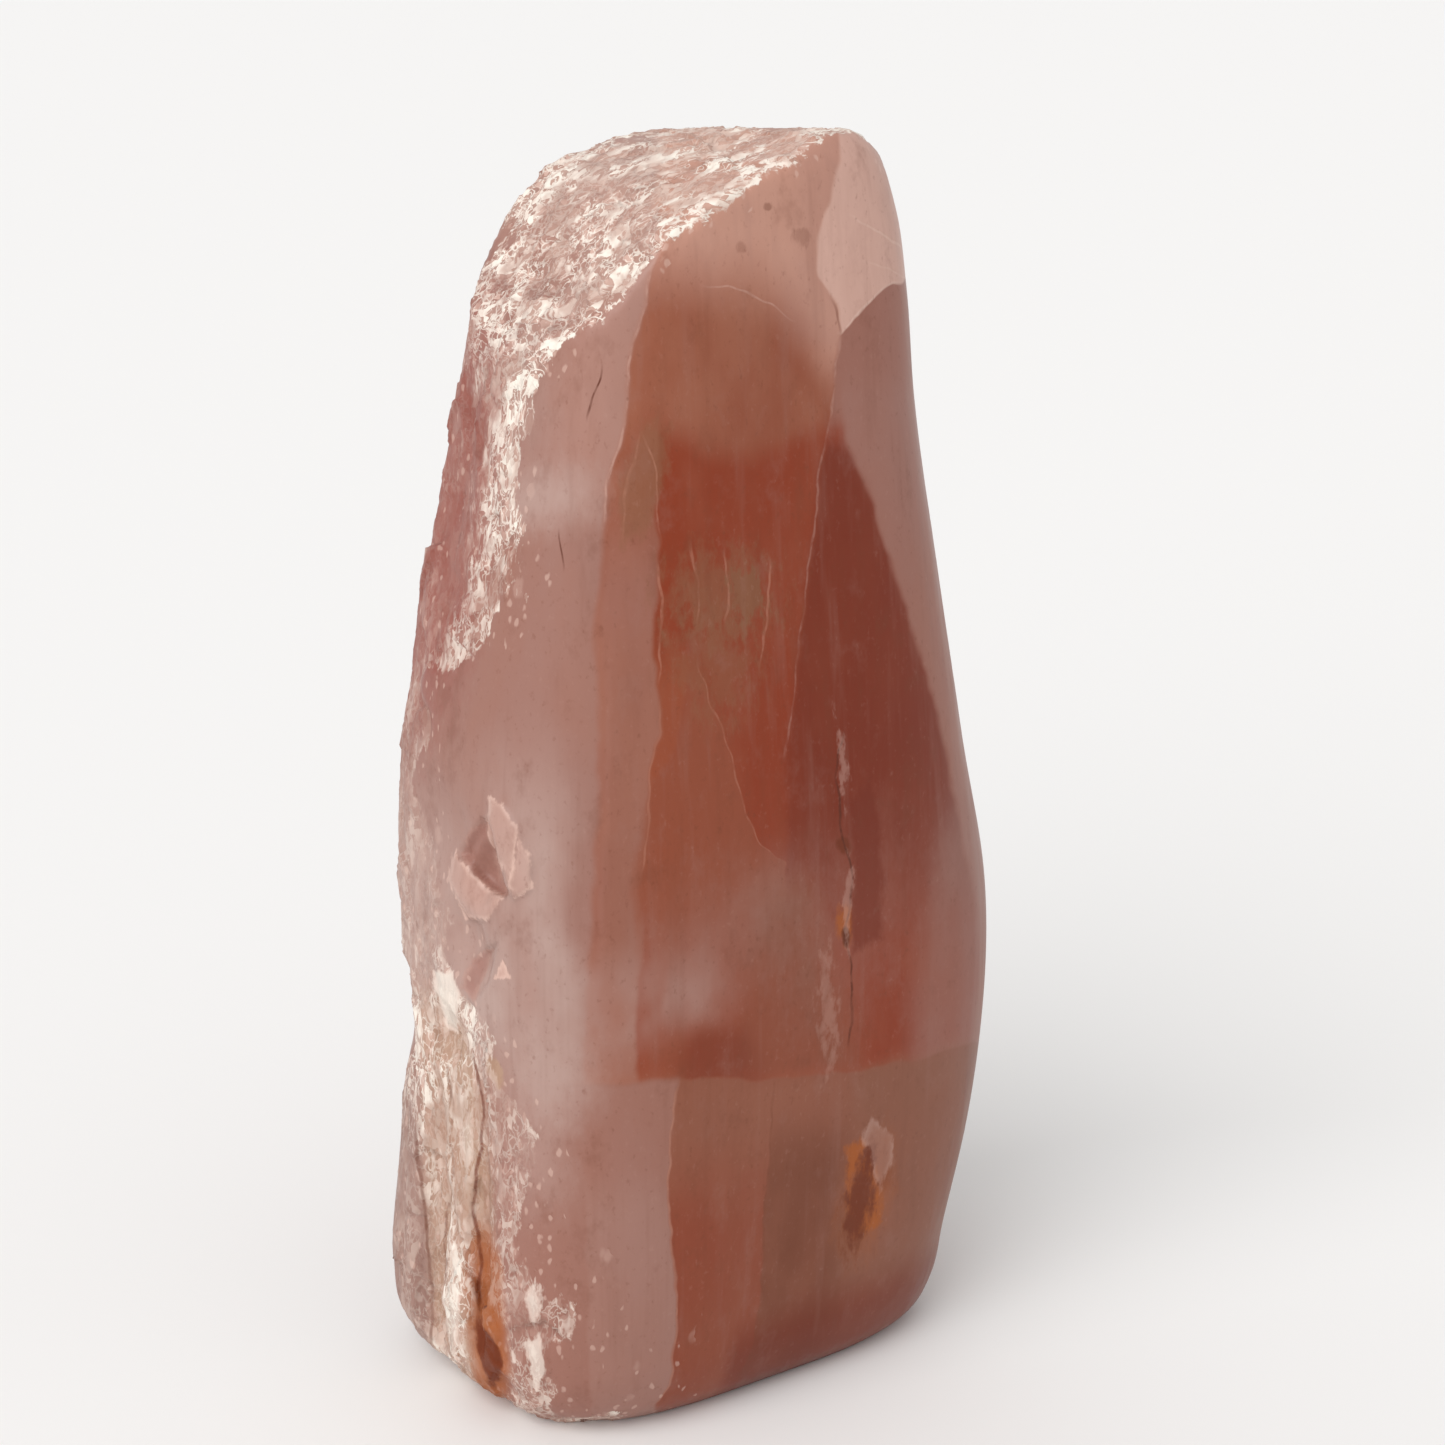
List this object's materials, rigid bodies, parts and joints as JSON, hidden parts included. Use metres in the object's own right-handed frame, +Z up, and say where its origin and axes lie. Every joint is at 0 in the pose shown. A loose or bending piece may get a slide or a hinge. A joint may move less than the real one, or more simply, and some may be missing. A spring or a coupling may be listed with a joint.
{
  "type": "rose quartz freeform",
  "caption": "Upright rose quartz freeform, polished on its front, right and back, rough on its left side and top, standing on a ground flat.",
  "frame": {"origin": "under the middle of the stone's box, on the flat that it stands on", "axes": "+Z up the stone, its polished front faces -Y, and its rough side faces -X"},
  "size_m": [0.0868, 0.0574, 0.1825],
  "materials": {
    "rose_quartz": "polished, with broken frosted faces"
  },
  "bodies": {
    "root": {"rose_quartz": "rose_quartz"}
  },
  "joints": []
}
